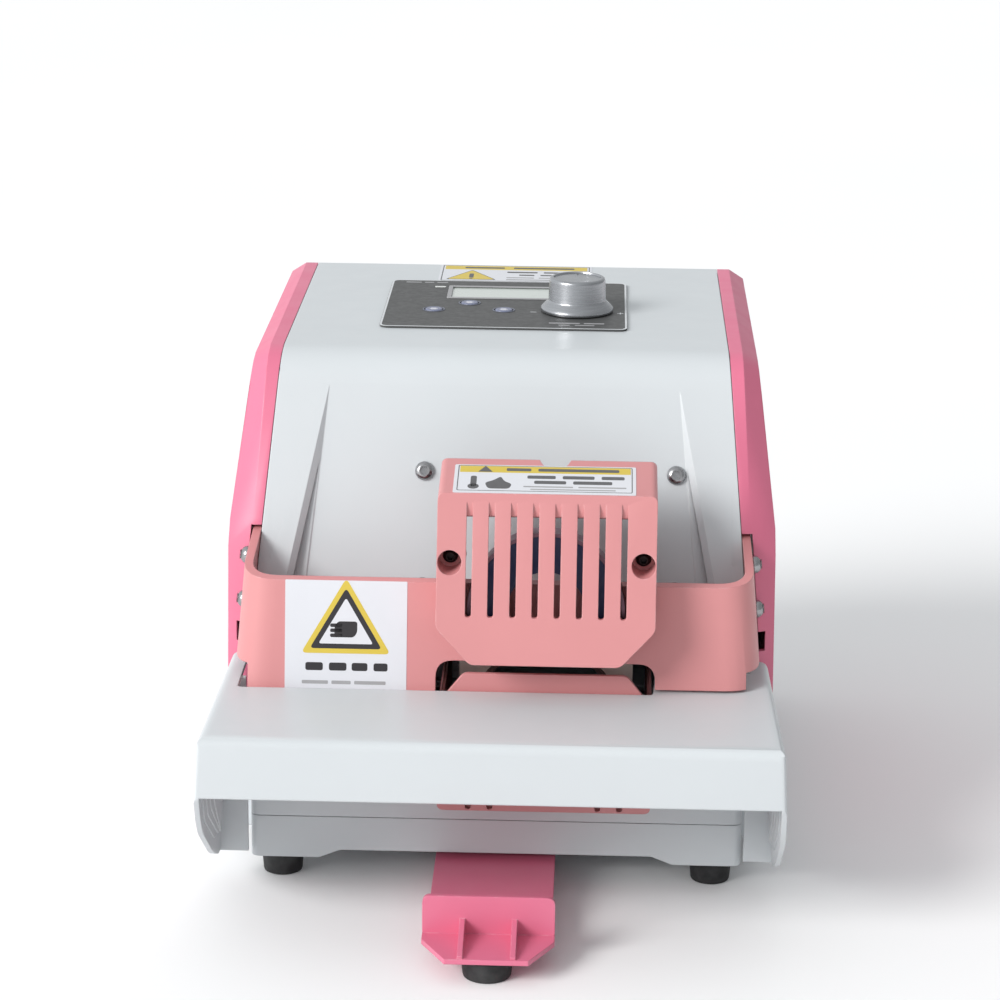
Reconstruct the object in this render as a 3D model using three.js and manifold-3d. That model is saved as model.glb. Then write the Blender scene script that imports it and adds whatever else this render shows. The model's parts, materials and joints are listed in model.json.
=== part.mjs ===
// A bench-top mug heat press. Millimetres, +Z up, the front faces -Y and +X is the operator's right.
// The origin is on the bench, under the middle of the outer box.
import * as THREE from "three";
import { ConvexGeometry } from "three/addons/geometries/ConvexGeometry.js";
import { mergeVertices } from "three/addons/utils/BufferGeometryUtils.js";
import Module from "manifold-3d";

const wasm = await Module();
wasm.setup();

// ---------- Driving dimensions ----------
const GAP = 0.35; // between pieces that rest on each other
const SHEET = 3; // wall of the moulded covers
const BODY_REAR = 319; // back edge of the shell
const TOP = 297; // flat top of the shell
const SHELL_BOTTOM = 128;
const SHELL_HALF_TOP = 132; // half width of the white shell at its top
const FLARE = 0.085; // the sides lean out by this much for each mm down
const BEND_REACH = 18.5; // how far the rounded bend runs along the top and down the front
const BEND_TOP = 279; // where the front of the shell turns flat
const CENTRE_LEAN = 0.364; // run for each mm of rise of the recessed front
const BACKING_TOP = 275; // top of the wall behind the recess
const CENTRE_Y = 40; // the recessed front crosses CENTRE_Z here
const CENTRE_Z = 200;
const FENDER_LEAN = 0.453; // the strips beside the recess lean more
const FLUTE_APEX = 103;
const FLUTE_INNER = 118.7; // at the shell's bottom
const FLUTE_OUTER = 138;

const HEAD_X = 28; // the press sits right of the middle
const MUG_RADIUS = 40;
const MUG_Z = 103; // axis of the mug
const HEATER_INNER = MUG_RADIUS + 1;
const HEATER_OUTER = HEATER_INNER + 2.5;
const HEATER_FRONT = -12;
const HEATER_REAR = 84;

const BASE_BOTTOM = 15;
const BASE_SEAM = 41;
const BASE_HALF = 143.5;
const BASE_FRONT = -18;
const SKIRT_HALF = 158; // the wide part of the base behind the drawer
const SKIRT_FRONT = 28;
const SKIRT_TOP = 68.5;
const PANEL_BOTTOM = 70;
const PANEL_KINK = 206; // the side panels stop widening here
const BASE_TOP = 118;

const BAND_FRONT_Z = 188; // top edge of the band at the front
const BAND_FRONT_Y = -24;
const BAND_LEAN = 0.176;
const BAND_SHEET = 5;
const BAND_ARM_REAR = 44;
const BAND_TOP_SLOPE = 0.2; // the arms rise towards the back
const BAND_BOTTOM = 106; // behind the drawer's plate
const BAND_RIGHT_BOTTOM = 129.6; // over the wider part of the plate
const BAND_INSET_HALF = 142.5;
const BAND_ARM_BOTTOM = 139;

const GUARD_HALF = 61.75; // half width of the upper guard's front
const GUARD_LEAN = 0.306;
const GUARD_BOTTOM_Y = -59.3;
const GUARD_BOTTOM_Z = 151.3;
const GUARD_TOP_Z = 243.5;
const GUARD_CHAMFER = 19.5;
const GUARD_WALL = 2.6;
const SLOT_PITCH = 12.45;
const SLOT_HALF = 1.7;
const GUARD_SCREW_X = 54.5; // from the middle of the guard
const GUARD_SCREW_Z = 206;
const GUARD_REAR = 10.5;
const GUARD_TOP_SLOPE = 0.2; // the top rises towards the back

const LOWER_GUARD_HALF = 61.5;
const LOWER_GUARD_FRONT = -36;
const LOWER_GUARD_TOP = 138;
const LOWER_GUARD_BOTTOM = 54;
const CUTOUT_HALF = 62.6;
const CUTOUT_TOP = 144;

const TRAY_HALF = 157.5;
const TRAY_FLARE = 0.055; // how far each side wall leans out for each mm of drop
const TRAY_SPREAD = 0.022; // how far each side moves out for each mm towards the front
const TRAY_SHOULDER = 6; // rounding along the top of the side walls
const PLATE_REAR = -38.5;
const PLATE_RIGHT_REAR = 4;
const ARM_INNER = 147.5;
const TRAY_TOP = 128;
const TRAY_FRONT = -122;
const TRAY_REAR = 22;
const TRAY_LIP_Z = 92.5;
const EAR_Y = -20;
const EAR_BOTTOM = 19;

const TONGUE_HALF = 35;
const TONGUE_BOTTOM = 12.5;
const TONGUE_TOP = 16;
const TAB_Y = -121;
const PLATFORM_FRONT = -154.5;
const STAB_FOOT_Y = -139;

const FOOT_X = 126.4;
const FOOT_REAR_Y = 290;
const PANEL_X = -3.4; // middle of the control panel
const PANEL_HALF = 75.5;
const PANEL_FRONT = 138;
const PANEL_REAR = 266;
const KNOB = [41, 186];
const KEYS = [
  [-48, 184],
  [-26.5, 203],
  [-4.5, 185],
];
const KEY_RADIUS = 5.5;
const DISPLAY = [-40, 31, 216, 248]; // x0, x1, y0, y1

const ROD_X = 58; // from the middle of the head
const ROD_Y = 76;
const SCREW_Y = 92;
const CARRIAGE_BOTTOM = 150;
const CARRIAGE_TOP = 172;
const SADDLE_TOP = 149.6;
const SADDLE_BOTTOM = 57;
const MOTOR_TOP = 268;
const MOTOR_PLATE_Z = 236;
const MOTOR_PLATE_TOP = 241;
const SHELL_SCREW_X = 73.9;
const SHELL_SCREW_ROWS = [168, 232];

const REARMOST = 320.6; // the fuse drawer's grip
const CENTRE_OF_BOX = (PLATFORM_FRONT + REARMOST) / 2; // the outer box's middle along Y

// ---------- Colours ----------
const WHITE = [0xe6ebee, 0.45, 0.0];
const PINK = [0xf0809f, 0.45, 0.0];
const SALMON = [0xe39c9a, 0.55, 0.0];
const BLACK_RUBBER = [0x151515, 0.8, 0.0];
const STEEL = [0xb9bbbe, 0.3, 1.0];
const DARK_PLASTIC = [0x2a2b2e, 0.5, 0.0];
const GREY_PANEL = [0x6a6b6a, 0.4, 0.0];

// ---------- Building blocks ----------
function withColour(geometry, [colour, roughness, metalness]) {
  const material = new THREE.MeshStandardMaterial({ color: colour, roughness, metalness });
  return new THREE.Mesh(geometry, material);
}

function solid(geometry) {
  const plain = geometry.clone();
  plain.deleteAttribute("normal");
  plain.deleteAttribute("uv");
  const merged = mergeVertices(plain, 1e-4);
  const mesh = new wasm.Mesh({
    numProp: 3,
    vertProperties: new Float32Array(merged.attributes.position.array),
    triVerts: new Uint32Array(merged.index.array),
  });
  return new wasm.Manifold(mesh);
}

function geometryOf(body) {
  const mesh = body.getMesh();
  const geometry = new THREE.BufferGeometry();
  geometry.setAttribute("position", new THREE.BufferAttribute(mesh.vertProperties, 3));
  geometry.setIndex(new THREE.BufferAttribute(mesh.triVerts, 1));
  return geometry;
}

function box(x0, x1, y0, y1, z0, z1) {
  const geometry = new THREE.BoxGeometry(x1 - x0, y1 - y0, z1 - z0);
  geometry.translate((x0 + x1) / 2, (y0 + y1) / 2, (z0 + z1) / 2);
  return solid(geometry);
}

// A closed outline with its corners rounded: each corner is [u, v] or [u, v, radius].
function outline(corners) {
  const shape = new THREE.Shape();
  corners.forEach(([u, v, radius = 0], i) => {
    const corner = new THREE.Vector2(u, v);
    const before = new THREE.Vector2(...corners.at(i - 1).slice(0, 2));
    const after = new THREE.Vector2(...corners[(i + 1) % corners.length].slice(0, 2));
    const start = before.sub(corner).setLength(radius).add(corner);
    const end = after.sub(corner).setLength(radius).add(corner);
    if (i === 0) shape.moveTo(start.x, start.y);
    else shape.lineTo(start.x, start.y);
    if (radius > 0) shape.quadraticCurveTo(corner.x, corner.y, end.x, end.y);
  });
  shape.closePath();
  return shape;
}

function extruded(shape, length, curveSegments = 6) {
  return new THREE.ExtrudeGeometry(shape, { depth: length, bevelEnabled: false, curveSegments });
}

// Outline in (y, z), run along X.
function alongX(shape, x0, x1, curveSegments) {
  const geometry = extruded(shape, x1 - x0, curveSegments);
  const basis = new THREE.Matrix4().makeBasis(
    new THREE.Vector3(0, 1, 0),
    new THREE.Vector3(0, 0, 1),
    new THREE.Vector3(1, 0, 0),
  );
  return solid(geometry.applyMatrix4(basis).translate(x0, 0, 0));
}

// Outline in (x, z), run along Y.
function alongY(shape, y0, y1, curveSegments) {
  const geometry = extruded(shape, y1 - y0, curveSegments);
  return solid(geometry.rotateX(Math.PI / 2).translate(0, y1, 0));
}

// Outline in (x, y), run along Z.
function alongZ(shape, z0, z1, curveSegments) {
  return solid(extruded(shape, z1 - z0, curveSegments).translate(0, 0, z0));
}

function cylinder(radius, x, y, z0, z1, segments = 28, topRadius = radius) {
  const geometry = new THREE.CylinderGeometry(topRadius, radius, z1 - z0, segments);
  return solid(geometry.rotateX(Math.PI / 2).translate(x, y, (z0 + z1) / 2));
}

// A round bar from one point to another.
function bar(radius, from, to, segments = 20) {
  const start = new THREE.Vector3(...from);
  const run = new THREE.Vector3(...to).sub(start);
  const geometry = new THREE.CylinderGeometry(radius, radius, run.length(), segments);
  const turn = new THREE.Quaternion().setFromUnitVectors(
    new THREE.Vector3(0, 1, 0),
    run.clone().normalize(),
  );
  geometry.applyQuaternion(turn).translate(...start.addScaledVector(run, 0.5).toArray());
  return solid(geometry);
}

function rectangle(x0, x1, y0, y1, radius = 0) {
  return outline([
    [x0, y0, radius],
    [x1, y0, radius],
    [x1, y1, radius],
    [x0, y1, radius],
  ]);
}

// Moves every vertex of a solid by a function of its place.
function warped(body, move) {
  const geometry = geometryOf(body);
  const position = geometry.attributes.position;
  const point = new THREE.Vector3();
  for (let i = 0; i < position.count; i += 1) {
    point.fromBufferAttribute(position, i);
    move(point);
    position.setXYZ(i, point.x, point.y, point.z);
  }
  return solid(geometry);
}

// ---------- Surfaces that several pieces share ----------
const shellHalf = (z) => SHELL_HALF_TOP + (TOP - z) * FLARE;
const centreFrontY = (z) => CENTRE_Y + (z - CENTRE_Z) * CENTRE_LEAN;
const bendY = centreFrontY(BEND_TOP);
const fenderFrontY = (z) => bendY + (z - BEND_TOP) * FENDER_LEAN;
const bandFrontY = (z) => BAND_FRONT_Y + (z - BAND_FRONT_Z) * BAND_LEAN;
const guardFrontY = (z) => GUARD_BOTTOM_Y + (z - GUARD_BOTTOM_Z) * GUARD_LEAN;
const bandHalf = (z) => shellHalf(z) + GAP + BAND_SHEET;

// The side view of the shell, with every face moved in by an inset.
function shellProfile(inset, bottom) {
  const top = TOP - inset;
  const slope = Math.hypot(1, FENDER_LEAN);
  const front = (z) => fenderFrontY(z) + inset * slope;
  return outline([
    [BODY_REAR + (inset > 0 ? 1 : 0), bottom],
    [BODY_REAR + (inset > 0 ? 1 : 0), top],
    [front(top), top, BEND_REACH - inset / 2],
    [front(bottom), bottom],
  ]);
}

// ---------- Base ----------
function baseOutline(inset, wide) {
  const half = BASE_HALF - inset;
  const skirt = (wide ? SKIRT_HALF : BASE_HALF) - inset;
  const step = SKIRT_FRONT + inset;
  if (!wide) return rectangle(-half, half, BASE_FRONT + inset, BODY_REAR - inset, 6 - inset);
  return outline([
    [-half, BASE_FRONT + inset, 6],
    [half, BASE_FRONT + inset, 6],
    [half, step],
    [skirt, step, 3],
    [skirt, BODY_REAR - inset, 6],
    [-skirt, BODY_REAR - inset, 6],
    [-skirt, step, 3],
    [-half, step],
  ]);
}

function baseLower() {
  const channel = outline([
    [-106, BASE_BOTTOM - 1],
    [-91, 20],
    [91, 20],
    [106, BASE_BOTTOM - 1],
  ]);
  return alongZ(baseOutline(0, true), BASE_BOTTOM, BASE_SEAM - GAP)
    .subtract(alongZ(baseOutline(SHEET, true), 23, BASE_SEAM + 1))
    .subtract(alongY(channel, BASE_FRONT - 1, BODY_REAR + 1));
}

function baseUpper() {
  const outside = alongZ(baseOutline(0, true), BASE_SEAM, SKIRT_TOP)
    .add(alongZ(baseOutline(0, false), SKIRT_TOP - 1, BASE_TOP));
  const inside = alongZ(baseOutline(SHEET, true), BASE_SEAM - 1, SKIRT_TOP - SHEET)
    .add(alongZ(baseOutline(SHEET, false), SKIRT_TOP - SHEET - 1, BASE_TOP + 1));
  const frontTop = box(-BASE_HALF + 4, BASE_HALF - 4, BASE_FRONT - 1, BASE_FRONT + 5, 84, BASE_TOP + 1);
  const mouth = box(HEAD_X - 64, HEAD_X + 64, BASE_FRONT - 1, BASE_FRONT + 5, 51.5, BASE_TOP + 1);
  const shelf = box(-156, 156, BODY_REAR - 140, BODY_REAR - 136, 50, 54)
    .add(box(-156, 156, 120, 124, 50, 54));
  return outside.subtract(inside).subtract(frontTop).subtract(mouth).add(shelf);
}

function foot(x, y) {
  return cylinder(11.6, x, y, 0, BASE_BOTTOM - GAP, 28, 12.6);
}

// ---------- Shell and side panels ----------
function shellScrewPlaces() {
  return SHELL_SCREW_ROWS.flatMap((z) => [-1, 1].map((side) => [HEAD_X + side * SHELL_SCREW_X, z]));
}

const intoShell = new THREE.Vector3(0, 1, -CENTRE_LEAN).normalize();

function shellScrewAxis(x, z, from, to) {
  const start = new THREE.Vector3(x, centreFrontY(z), z);
  const a = start.clone().addScaledVector(intoShell, from);
  const b = start.clone().addScaledVector(intoShell, to);
  return [a.toArray(), b.toArray()];
}

// The front is recessed between two tapering flutes that start at the bend.
function recess() {
  const bottom = SHELL_BOTTOM - 8;
  const corners = [];
  for (const side of [-1, 1]) {
    corners.push(new THREE.Vector3(side * FLUTE_APEX, bendY, BEND_TOP));
    corners.push(new THREE.Vector3(side * FLUTE_OUTER, fenderFrontY(bottom) - 1, bottom));
    corners.push(new THREE.Vector3(side * FLUTE_INNER, centreFrontY(bottom), bottom));
  }
  return solid(new ConvexGeometry(corners));
}

function drafted(body) {
  const middle = (SHELL_BOTTOM + TOP) / 2;
  return warped(body, (p) => {
    p.x *= shellHalf(p.z) / shellHalf(middle);
  });
}

function frontShell() {
  const middle = (SHELL_BOTTOM + TOP) / 2;
  const half = shellHalf(middle);
  let shell = drafted(alongX(shellProfile(0, SHELL_BOTTOM), -half, half, 8))
    .subtract(drafted(alongX(shellProfile(SHEET, SHELL_BOTTOM - 1), SHEET - half, half - SHEET, 8)));
  // The wall behind the recess, so that the recess doesn't break through. The recess trims its front.
  const backing = outline([
    [centreFrontY(SHELL_BOTTOM) - 1, SHELL_BOTTOM],
    [centreFrontY(SHELL_BOTTOM) + SHEET, SHELL_BOTTOM],
    [centreFrontY(BACKING_TOP) + SHEET, BACKING_TOP],
    [centreFrontY(BACKING_TOP) - 0.2, BACKING_TOP],
  ]);
  shell = shell.add(alongX(backing, -128, 128)).subtract(recess());
  shell = shell.subtract(box(HEAD_X - 53, HEAD_X + 53, 0, 60, SHELL_BOTTOM - 1, 170));
  for (const [x, z] of shellScrewPlaces()) {
    shell = shell.subtract(bar(2.9, ...shellScrewAxis(x, z, -2, 8), 12));
  }
  const [dx0, dx1, dy0, dy1] = DISPLAY;
  shell = shell.subtract(box(dx0 - 1, dx1 + 1, dy0 - 1, dy1 + 1, TOP - 6, TOP + 1));
  for (const [x, y] of KEYS) {
    shell = shell.subtract(cylinder(KEY_RADIUS + 0.4, x, y, TOP - 6, TOP + 1, 20));
  }
  for (const place of bandScrewPlaces()) shell = shell.subtract(bandScrewHole(place));
  return shell.subtract(cylinder(4.4, ...KNOB, TOP - 6, TOP + 1, 20));
}

// A side panel in side view: where its inner strip ends, and how far down and back its outer edge
// lies from there.
const PANEL_EDGE = [
  { y: BODY_REAR, z: PANEL_BOTTOM, back: 0, down: 0 },
  { y: BODY_REAR, z: TOP, back: 0, down: 6 },
  { y: bendY + 25, z: TOP, back: 2, down: 6 },
  { y: bendY + 13, z: TOP - 3, back: 5, down: 6 },
  { y: bendY + 4, z: TOP - 10, back: 8, down: 6 },
  { y: bendY, z: BEND_TOP, back: 9.5, down: 5 },
  { y: fenderFrontY(PANEL_KINK), z: PANEL_KINK, back: 12, down: 4 },
  { y: 31, z: 188, back: 7, down: 0 },
  { y: 29, z: PANEL_BOTTOM, back: 4, down: 0 },
];

function panelRing(share, inset) {
  return PANEL_EDGE.map(({ y, z, back, down }) => {
    const rear = y === BODY_REAR;
    const low = z === PANEL_BOTTOM;
    return [
      rear ? y - inset : y + back * share + inset,
      low ? z + inset : z - down * share - inset,
    ];
  });
}

const facetHalf = (z) => shellHalf(z) + 8.2 - (TOP - z) * 0.028;
const outerHalf = (z) => (z > PANEL_KINK ? 148.8 + (TOP - z) * 0.13 : 160.6 + (PANEL_KINK - z) * 0.012);

function sidePanelSolid(inset) {
  const inside = inset > 0 ? 1 : 0;
  const rings = [
    { points: panelRing(0, inset), x: (z) => shellHalf(z) + GAP - inside },
    { points: panelRing(0, inset), x: (z) => facetHalf(z) - inset },
    { points: panelRing(1, inset), x: (z) => outerHalf(z) - inset },
  ];
  const vertices = rings.flatMap(({ points, x }) => points.map(([y, z]) => [x(z), y, z]));
  const count = rings[0].points.length;
  const faces = [];
  for (let ring = 0; ring < 2; ring += 1) {
    for (let i = 0; i < count; i += 1) {
      const a = ring * count + i;
      const b = ring * count + ((i + 1) % count);
      faces.push([a, b, b + count], [a, b + count, a + count]);
    }
  }
  const flat = rings[0].points.map(([y, z]) => new THREE.Vector2(y, z));
  for (const [a, b, c] of THREE.ShapeUtils.triangulateShape(flat, [])) {
    faces.push([a, c, b], [a + 2 * count, b + 2 * count, c + 2 * count]);
  }
  const geometry = new THREE.BufferGeometry();
  geometry.setAttribute("position", new THREE.Float32BufferAttribute(vertices.flat(), 3));
  geometry.setIndex(faces.flat());
  const made = solid(geometry);
  return made.volume() > 0 ? made : solid(flipped(geometry));
}

function flipped(geometry) {
  const index = geometry.index.array;
  const turned = new THREE.BufferGeometry();
  turned.setAttribute("position", geometry.attributes.position);
  const order = [];
  for (let i = 0; i < index.length; i += 3) order.push(index[i], index[i + 2], index[i + 1]);
  turned.setIndex(order);
  return turned;
}

function mirrored(body) {
  const geometry = geometryOf(body).scale(-1, 1, 1);
  return solid(flipped(geometry));
}

function rightSidePanel() {
  const notch = bandArms(1.2).add(bandArms(1.2).translate([0, -6, 0]));
  const chute = box(130, 156, -10, BAND_ARM_REAR + 2, BAND_ARM_BOTTOM - 8, BAND_ARM_BOTTOM + 4);
  return sidePanelSolid(0).subtract(sidePanelSolid(SHEET)).subtract(notch).subtract(chute);
}

// ---------- Band ----------
// The U of the band, drafted with the body and sloping down to the front. Extra thickens it.
function bandBody(extra, bottom) {
  const half = bandHalf(BAND_FRONT_Z) + extra;
  const inner = half - BAND_SHEET - 2 * extra;
  const front = BAND_FRONT_Y - extra;
  const back = BAND_ARM_REAR + extra;
  const shape = outline([
    [-half, back],
    [-half, front, 22],
    [half, front, 22],
    [half, back],
    [inner, back],
    [inner, front + BAND_SHEET + 2 * extra, 17],
    [-inner, front + BAND_SHEET + 2 * extra, 17],
    [-inner, back],
  ]);
  const raw = alongZ(shape, bottom, BAND_FRONT_Z + extra, 8);
  return warped(raw, (p) => {
    const backward = p.y - BAND_FRONT_Y;
    if (p.z > BAND_FRONT_Z - 1) p.z += Math.max(0, backward) * BAND_TOP_SLOPE;
    p.x *= bandHalf(p.z) / bandHalf(BAND_FRONT_Z);
    const hold = Math.min(1, Math.max(0, (BAND_ARM_REAR - p.y) / (BAND_ARM_REAR - BAND_FRONT_Y)));
    p.y += (p.z - BAND_FRONT_Z) * BAND_LEAN * hold;
  });
}

function bandArms(extra) {
  return bandBody(extra, BAND_ARM_BOTTOM - extra).intersect(box(120, 170, -60, 60, 100, 240));
}

function guardLugs() {
  let lugs = null;
  for (const side of [-1, 1]) {
    const x = HEAD_X + side * GUARD_SCREW_X;
    const y = bandFrontY(BAND_FRONT_Z);
    const edges = [x - side * 7.5, x + side * 3.8];
    const lug = box(Math.min(...edges), Math.max(...edges), y + 0.5, y + 4.5, BAND_FRONT_Z - 8, GUARD_SCREW_Z + 8)
      .subtract(bar(2.6, [x, y - 5, GUARD_SCREW_Z], [x, y + 10, GUARD_SCREW_Z], 12));
    lugs = lugs ? lugs.add(lug) : lug;
  }
  return lugs;
}

function band() {
  let made = bandBody(0, BAND_BOTTOM);
  for (const side of [-1, 1]) {
    const edges = [side * BAND_INSET_HALF, side * 170];
    made = made.subtract(box(Math.min(...edges), Math.max(...edges), -60, 60, 100, BAND_ARM_BOTTOM));
  }
  const cutout = outline([
    [HEAD_X - CUTOUT_HALF, 100],
    [HEAD_X + CUTOUT_HALF, 100],
    [HEAD_X + CUTOUT_HALF, CUTOUT_TOP, 10],
    [HEAD_X - CUTOUT_HALF, CUTOUT_TOP, 10],
  ]);
  made = made.subtract(alongY(cutout, -60, -10))
    .subtract(box(HEAD_X + 30, 143, -60, 60, 100, BAND_RIGHT_BOTTOM))
    .subtract(box(-143, 143, -12, 60, 100, BAND_ARM_BOTTOM))
    .add(guardLugs());
  for (const place of bandScrewPlaces()) made = made.subtract(bandScrewHole(place));
  return made;
}

function bandScrewPlaces() {
  return [-1, 1].flatMap((side) => [
    [side, 24, 187],
    [side, 24, 160],
  ]);
}

function bandScrewHole([side, y, z]) {
  const x = side * bandHalf(z);
  const drop = side * FLARE * 12;
  return bar(2.6, [x - 12, y, z - drop], [x + 12, y, z + drop], 12);
}

// ---------- Fasteners ----------
// A button head with a hex socket, its head's seat at the origin and its shank along -Z.
function buttonScrew(headRadius, headHeight, shankRadius, shankLength) {
  const dome = [new THREE.Vector2(0, -shankLength), new THREE.Vector2(shankRadius, -shankLength)];
  dome.push(new THREE.Vector2(shankRadius, 0), new THREE.Vector2(headRadius, 0));
  for (let i = 1; i <= 4; i += 1) {
    const angle = (i / 4) * (Math.PI / 2) * 0.8;
    dome.push(new THREE.Vector2(headRadius * Math.cos(angle), headHeight * Math.sin(angle) * 1.05));
  }
  dome.push(new THREE.Vector2(0, headHeight * Math.sin(0.4 * Math.PI) * 1.05));
  const lathe = new THREE.LatheGeometry(dome, 20).rotateX(Math.PI / 2);
  const socket = cylinder(headRadius * 0.5, 0, 0, headHeight * 0.25, headHeight * 2, 6);
  return solid(lathe).subtract(socket);
}

function placed(body, at, direction) {
  const turn = new THREE.Quaternion().setFromUnitVectors(
    new THREE.Vector3(0, 0, 1),
    new THREE.Vector3(...direction).normalize(),
  );
  return solid(geometryOf(body).applyQuaternion(turn).translate(...at));
}

function shellScrew(x, z) {
  const screw = buttonScrew(5.6, 3.6, 2.5, 8);
  const [at] = shellScrewAxis(x, z, -GAP, 0);
  return placed(screw, at, intoShell.clone().negate().toArray());
}

function bandScrew(side, y, z) {
  const screw = buttonScrew(5.4, 5.4, 2.1, 8);
  return placed(screw, [side * (bandHalf(z) + GAP), y, z], [side, 0, FLARE]);
}

// ---------- Upper guard ----------
// The guard's front in (x, z): square at the top, chamfered at the bottom.
function guardFace(inset) {
  const half = GUARD_HALF - inset;
  const bottom = GUARD_BOTTOM_Z + (inset > 0 ? inset : 0);
  const cut = GUARD_CHAMFER - inset * 0.4;
  return outline([
    [HEAD_X - half + cut, bottom, 3],
    [HEAD_X + half - cut, bottom, 3],
    [HEAD_X + half, bottom + cut, 3],
    [HEAD_X + half, GUARD_TOP_Z - inset, 4],
    [HEAD_X - half, GUARD_TOP_Z - inset, 4],
    [HEAD_X - half, bottom + cut, 3],
  ]);
}

// The guard's side view: its back follows the band, then passes over it to the shell.
function guardSide(inset) {
  const frontAt = (z) => guardFrontY(z) + inset * 1.05;
  const back = inset > 0 ? 60 : 0;
  return outline([
    [frontAt(GUARD_BOTTOM_Z - 5), GUARD_BOTTOM_Z - 5],
    [bandFrontY(GUARD_BOTTOM_Z) - 1.2 + back, GUARD_BOTTOM_Z - 5],
    [bandFrontY(190) - 1.2 + back, 190],
    [bandFrontY(190) - 1.2 + back, 197],
    [GUARD_REAR + back, 203],
    [GUARD_REAR + back, GUARD_TOP_Z + 5],
    [frontAt(GUARD_TOP_Z + 5), GUARD_TOP_Z + 5],
  ]);
}

function slotCutter(x, z0, z1, y0, y1) {
  return alongY(
    outline([
      [x - SLOT_HALF, z0, SLOT_HALF * 0.9],
      [x + SLOT_HALF, z0, SLOT_HALF * 0.9],
      [x + SLOT_HALF, z1, SLOT_HALF * 0.9],
      [x - SLOT_HALF, z1, SLOT_HALF * 0.9],
    ]),
    y0,
    y1,
    3,
  );
}

function raisedTop(body) {
  const front = guardFrontY(GUARD_TOP_Z);
  return warped(body, (p) => {
    if (p.z > GUARD_TOP_Z - 10) p.z += Math.max(0, p.y - front) * GUARD_TOP_SLOPE;
  });
}

function upperGuard() {
  let guard = raisedTop(alongY(guardFace(0), -80, 60).intersect(alongX(guardSide(0), -60, 120)));
  const hollow = raisedTop(
    alongY(guardFace(GUARD_WALL), -80, 62).intersect(alongX(guardSide(GUARD_WALL), -60, 120)),
  );
  let bosses = null;
  for (const side of [-1, 1]) {
    const x = HEAD_X + side * GUARD_SCREW_X;
    const boss = bar(9, [x, -70, GUARD_SCREW_Z], [x, bandFrontY(190) - 1.4, GUARD_SCREW_Z], 20);
    bosses = bosses ? bosses.add(boss) : boss;
  }
  guard = guard.subtract(hollow.subtract(bosses));
  for (const side of [-1, 1]) {
    const x = HEAD_X + side * GUARD_SCREW_X;
    const bottom = bandFrontY(190) - 4;
    guard = guard.subtract(bar(6.8, [x, -75, GUARD_SCREW_Z], [x, bottom, GUARD_SCREW_Z], 24));
    guard = guard.subtract(bar(2.6, [x, -30, GUARD_SCREW_Z], [x, 0, GUARD_SCREW_Z], 12));
  }
  for (let i = 0; i < 8; i += 1) {
    const x = HEAD_X + (i - 3.5) * SLOT_PITCH;
    guard = guard.subtract(slotCutter(x, GUARD_BOTTOM_Z + 25.5, GUARD_TOP_Z - 3, -75, guardFrontY(239)));
  }
  const notch = outline([
    [HEAD_X - 7, GUARD_REAR + 5],
    [HEAD_X - 3, GUARD_REAR - 8, 3],
    [HEAD_X + 10, GUARD_REAR - 8, 3],
    [HEAD_X + 14, GUARD_REAR + 5],
  ]);
  return guard.subtract(alongZ(notch, GUARD_TOP_Z - 5, GUARD_TOP_Z + 20));
}

function guardScrew(side) {
  const screw = buttonScrew(4.4, 4, 2.2, 9);
  const x = HEAD_X + side * GUARD_SCREW_X;
  return placed(screw, [x, bandFrontY(190) - 4 - GAP, GUARD_SCREW_Z], [0, -1, 0]);
}

// A horseshoe between two radii, open at the bottom, leaning with the guard.
function horseshoe(innerRadius, outerRadius, centreZ, legs, y0, y1) {
  const shape = new THREE.Shape();
  shape.moveTo(HEAD_X + outerRadius, centreZ - legs);
  shape.lineTo(HEAD_X + outerRadius, centreZ);
  shape.absarc(HEAD_X, centreZ, outerRadius, 0, Math.PI, false);
  shape.lineTo(HEAD_X - outerRadius, centreZ - legs);
  shape.lineTo(HEAD_X - innerRadius, centreZ - legs);
  shape.lineTo(HEAD_X - innerRadius, centreZ);
  shape.absarc(HEAD_X, centreZ, innerRadius, Math.PI, 0, true);
  shape.lineTo(HEAD_X + innerRadius, centreZ - legs);
  const flat = alongY(shape, y0, y1, 20);
  return warped(flat, (p) => {
    p.y += (p.z - centreZ) * BAND_LEAN;
  });
}

// ---------- Press head ----------
function saddle(x0, x1, z0, z1, y0, y1) {
  const groove = bar(HEATER_OUTER + GAP, [HEAD_X, y0 - 1, MUG_Z], [HEAD_X, y1 + 1, MUG_Z], 36);
  return box(x0, x1, y0, y1, z0, z1).subtract(groove);
}

function halfPipe(upper, y0, y1) {
  const shape = new THREE.Shape();
  const start = upper ? 0.02 : Math.PI + 0.02;
  const end = start + Math.PI - 0.04;
  shape.absarc(HEAD_X, MUG_Z, HEATER_OUTER, start, end, false);
  shape.absarc(HEAD_X, MUG_Z, HEATER_INNER, end, start, true);
  return alongY(shape, y0, y1, 18);
}

function guidePlate() {
  const depth = (offset) => offset * Math.hypot(1, CENTRE_LEAN);
  const low = 138;
  const high = 246;
  const side = outline([
    [centreFrontY(low) + depth(SHEET + 0.6), low],
    [centreFrontY(low) + depth(SHEET + 4.6), low],
    [centreFrontY(high) + depth(SHEET + 4.6), high],
    [centreFrontY(high) + depth(SHEET + 0.6), high],
  ]);
  let plate = alongX(side, HEAD_X - 84, HEAD_X + 84).subtract(
    box(HEAD_X - 53, HEAD_X + 53, 0, 80, low - 1, 171),
  );
  for (const [x, z] of shellScrewPlaces()) {
    plate = plate.subtract(bar(2.9, ...shellScrewAxis(x, z, 0, 12), 12));
  }
  return plate;
}

function rodFoot(side) {
  const x = HEAD_X + side * ROD_X;
  return box(x - 7, x + 7, centreFrontY(143) + 9.6, ROD_Y + 10, 139.4, 147);
}

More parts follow.
